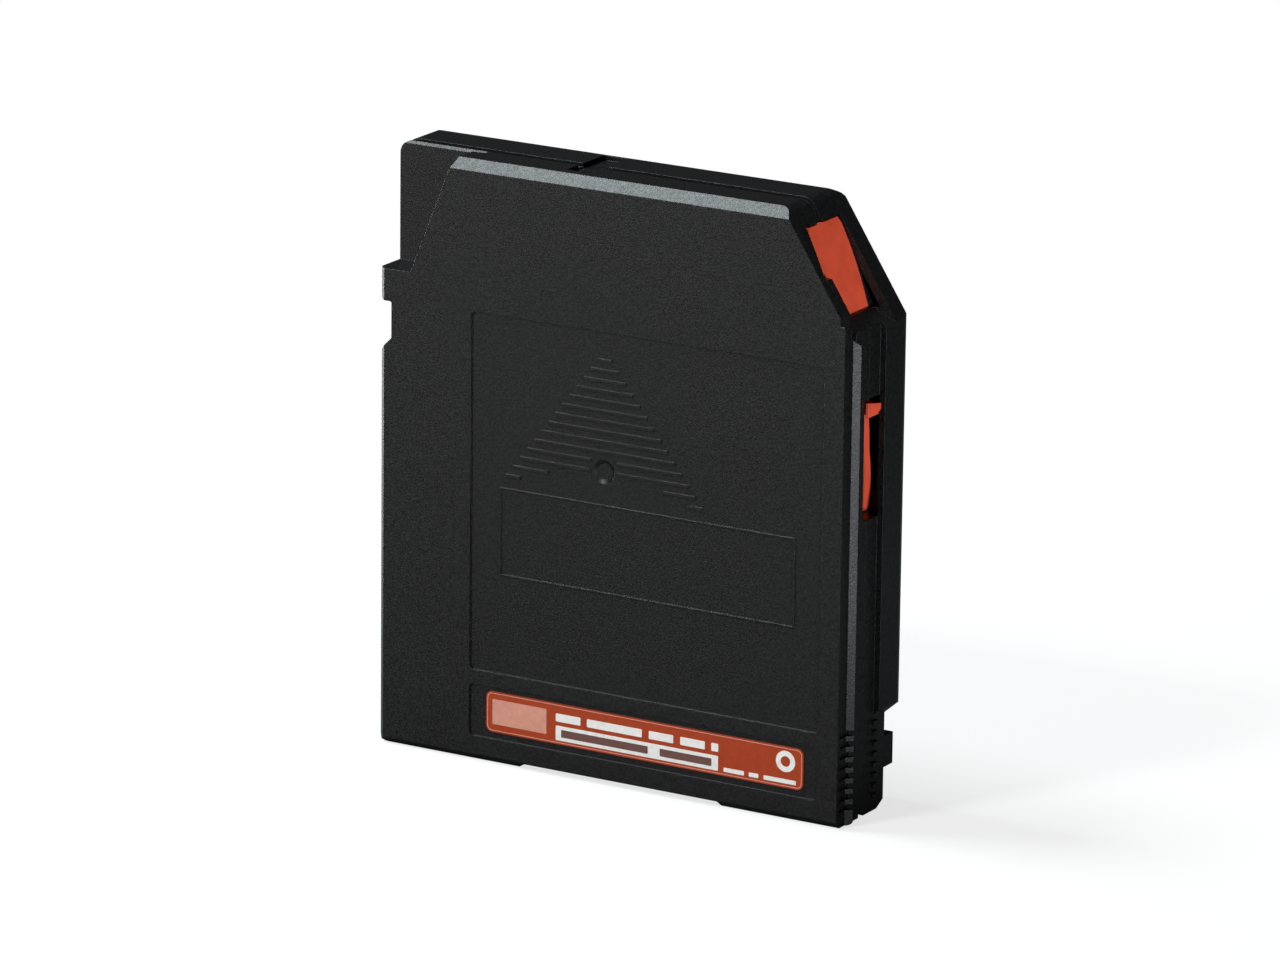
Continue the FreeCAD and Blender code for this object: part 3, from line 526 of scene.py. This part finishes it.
class CARTRIDGE_OT_leader(bpy.types.Operator):
    """Finish the leader pin, its clip and its springs"""
    bl_idname = "cartridge.leader"
    bl_label = "Leader pin"

    def execute(self, context):
        look = context.scene.cartridge_finishes
        dress("leader_pin", metal("polished pin"))
        dress("pin_clip", moulded("clip natural", look.clip, roughness=0.35))
        flat_wire = metal("flat spring wire")
        dress("pin_spring_upper", flat_wire)
        dress("pin_spring_lower", flat_wire)
        return {"FINISHED"}


class CARTRIDGE_OT_fittings(bpy.types.Operator):
    """Finish the write-protect switch and the memory chip"""
    bl_idname = "cartridge.fittings"
    bl_label = "Switch and chip"

    def execute(self, context):
        look = context.scene.cartridge_finishes
        dress("write_protect_switch", moulded("switch red", look.switch, roughness=0.4))
        dress("memory_chip", moulded("board green", look.board, roughness=0.3, grain=0.002 * MM))
        return {"FINISHED"}


class CARTRIDGE_OT_stage(bpy.types.Operator):
    """Lay the floor, light the studio and set the camera"""
    bl_idname = "cartridge.stage"
    bl_label = "Stage"

    def execute(self, context):
        stage = context.scene.cartridge_stage
        scene = context.scene
        floor_mesh = bpy.data.meshes.new("floor")
        bm = bmesh.new()
        bmesh.ops.create_circle(bm, cap_ends=True, segments=FLOOR_SEGMENTS, radius=stage.floor_radius)
        bm.to_mesh(floor_mesh)
        bm.free()
        floor = bpy.data.objects.new("floor", floor_mesh)
        scene.collection.objects.link(floor)
        floor_mesh.materials.append(floor_white(stage.floor_radius))
        surroundings(stage.fill, stage.fill_behind)
        for name, place, side, colour, shines in LAMPS:
            softbox(name, place, side, getattr(stage, name + "_power"), colour, shines)
        scene.camera = photo_camera()
        scene.view_settings.view_transform = "Standard"
        return {"FINISHED"}


def floor_white(radius):
    """Pale floor that keeps a soft shadow, fades to white at its rim and throws little light back."""
    fade_start, fade_end, least_glow = 0.12, radius * 0.9, 0.72
    bounce_tone, seen_tone = 0.1, 0.8
    finish = Finish("floor white", (seen_tone, seen_tone, seen_tone), roughness=0.9, specular=0.0)
    seen = finish.add("ShaderNodeLightPath").outputs["Is Camera Ray"]
    tone = finish.add(
        "ShaderNodeMix", {"A": grey(bounce_tone), "B": grey(seen_tone), "Factor": seen}, data_type="RGBA")
    finish.give("Base Color", tone.outputs["Result"])
    glow = finish.add("ShaderNodeEmission", {"Color": grey(1.0), "Strength": 1.0})
    length = finish.add("ShaderNodeVectorMath", {0: finish.place}, operation="LENGTH")
    fade = finish.add("ShaderNodeMapRange", {
        "Value": length.outputs["Value"], "From Min": fade_start, "From Max": fade_end, "To Min": least_glow,
        "To Max": 1.0})
    share = finish.add("ShaderNodeMath", {0: seen, 1: fade.outputs["Result"]}, operation="MULTIPLY")
    mix = finish.add("ShaderNodeMixShader", {
        "Fac": share.outputs[0], 1: finish.shader.outputs["BSDF"], 2: glow.outputs["Emission"]})
    finish.feed(finish.tree.nodes["Material Output"].inputs["Surface"], mix.outputs["Shader"])
    return finish.material


def surroundings(fill, fill_behind):
    """White world for the camera and glass; a dimmer one, darker behind the object, lights it."""
    front_end, behind_start = -0.7, 0.1
    world = bpy.data.worlds.new("studio")
    bpy.context.scene.world = world
    world.use_nodes = True
    nodes = Nodes(world.node_tree)
    rays = nodes.add("ShaderNodeLightPath").outputs
    seen = nodes.add(
        "ShaderNodeMath", {0: rays["Is Camera Ray"], 1: rays["Is Transmission Ray"]}, operation="MAXIMUM")
    direction = nodes.add("ShaderNodeTexCoord").outputs["Generated"]
    parts = nodes.add("ShaderNodeSeparateXYZ", {"Vector": direction})
    light = nodes.add("ShaderNodeMapRange", {
        "Value": parts.outputs["Y"], "From Min": front_end, "From Max": behind_start, "To Min": fill,
        "To Max": fill_behind})
    level = nodes.add("ShaderNodeMapRange", {
        "Value": seen.outputs[0], "To Min": light.outputs["Result"], "To Max": 1.0})
    background = nodes.tree.nodes["Background"]
    nodes.feed(background.inputs["Color"], grey(1.0))
    nodes.feed(background.inputs["Strength"], level.outputs["Result"])


def softbox(name, place, side, power, colour, shines):
    """Square lamp that faces the cartridge."""
    data = bpy.data.lights.new(name, "AREA")
    data.color = colour
    data.shape = "SQUARE"
    data.size = side
    data.energy = power
    light = bpy.data.objects.new(name, data)
    light.location = place
    light.rotation_euler = (LAMP_AIM - Vector(place)).to_track_quat("-Z", "Y").to_euler()
    light.visible_glossy = shines
    bpy.context.scene.collection.objects.link(light)


def photo_camera():
    """Camera at the photograph's place: long lens, low above the right."""
    azimuth = math.radians(30.436)
    height = math.radians(15.802)
    roll = math.radians(0.679)
    target = Vector((0, 0, 0.061102))
    distance = 1.648795
    back = Vector((
        math.sin(azimuth) * math.cos(height), -math.cos(azimuth) * math.cos(height), math.sin(height)))
    right = Vector((math.cos(azimuth), math.sin(azimuth), 0))
    up = back.cross(right)
    turned_right = right * math.cos(roll) + up * math.sin(roll)
    turned_up = up * math.cos(roll) - right * math.sin(roll)
    data = bpy.data.cameras.new("photo camera")
    data.sensor_width = 36.0
    data.lens = 230.99
    data.clip_end = 50.0
    camera = bpy.data.objects.new("photo camera", data)
    matrix = Matrix((turned_right, turned_up, back)).transposed().to_4x4()
    camera.matrix_world = Matrix.Translation(target + back * distance) @ matrix
    bpy.context.scene.collection.objects.link(camera)
    return camera


class CARTRIDGE_PT_panel(bpy.types.Panel):
    """Lists the settings and the steps of the cartridge and its studio"""
    bl_idname = "CARTRIDGE_PT_panel"
    bl_label = "Data Tape Cartridge"
    bl_space_type = "VIEW_3D"
    bl_region_type = "UI"
    bl_category = "Cartridge"

    def draw(self, context):
        scene = context.scene
        for group in (scene.cartridge_finishes, scene.cartridge_print, scene.cartridge_stage):
            box = self.layout.box()
            for key in group.__annotations__:
                box.prop(group, key)
        for step in STEPS:
            self.layout.operator(step.bl_idname)


STEPS = (
    CARTRIDGE_OT_case, CARTRIDGE_OT_door, CARTRIDGE_OT_label, CARTRIDGE_OT_reel, CARTRIDGE_OT_leader,
    CARTRIDGE_OT_fittings, CARTRIDGE_OT_stage,
)
CLASSES = (CARTRIDGE_PG_finishes, CARTRIDGE_PG_print, CARTRIDGE_PG_stage, *STEPS, CARTRIDGE_PT_panel)


def register():
    for kind in CLASSES:
        bpy.utils.register_class(kind)
    bpy.types.Scene.cartridge_finishes = PointerProperty(type=CARTRIDGE_PG_finishes)
    bpy.types.Scene.cartridge_print = PointerProperty(type=CARTRIDGE_PG_print)
    bpy.types.Scene.cartridge_stage = PointerProperty(type=CARTRIDGE_PG_stage)


def unregister():
    del bpy.types.Scene.cartridge_stage
    del bpy.types.Scene.cartridge_print
    del bpy.types.Scene.cartridge_finishes
    for kind in reversed(CLASSES):
        bpy.utils.unregister_class(kind)


def main():
    register()
    for step in STEPS:
        space, name = step.bl_idname.split(".")
        getattr(getattr(bpy.ops, space), name)()


if __name__ == "__main__":
    main()
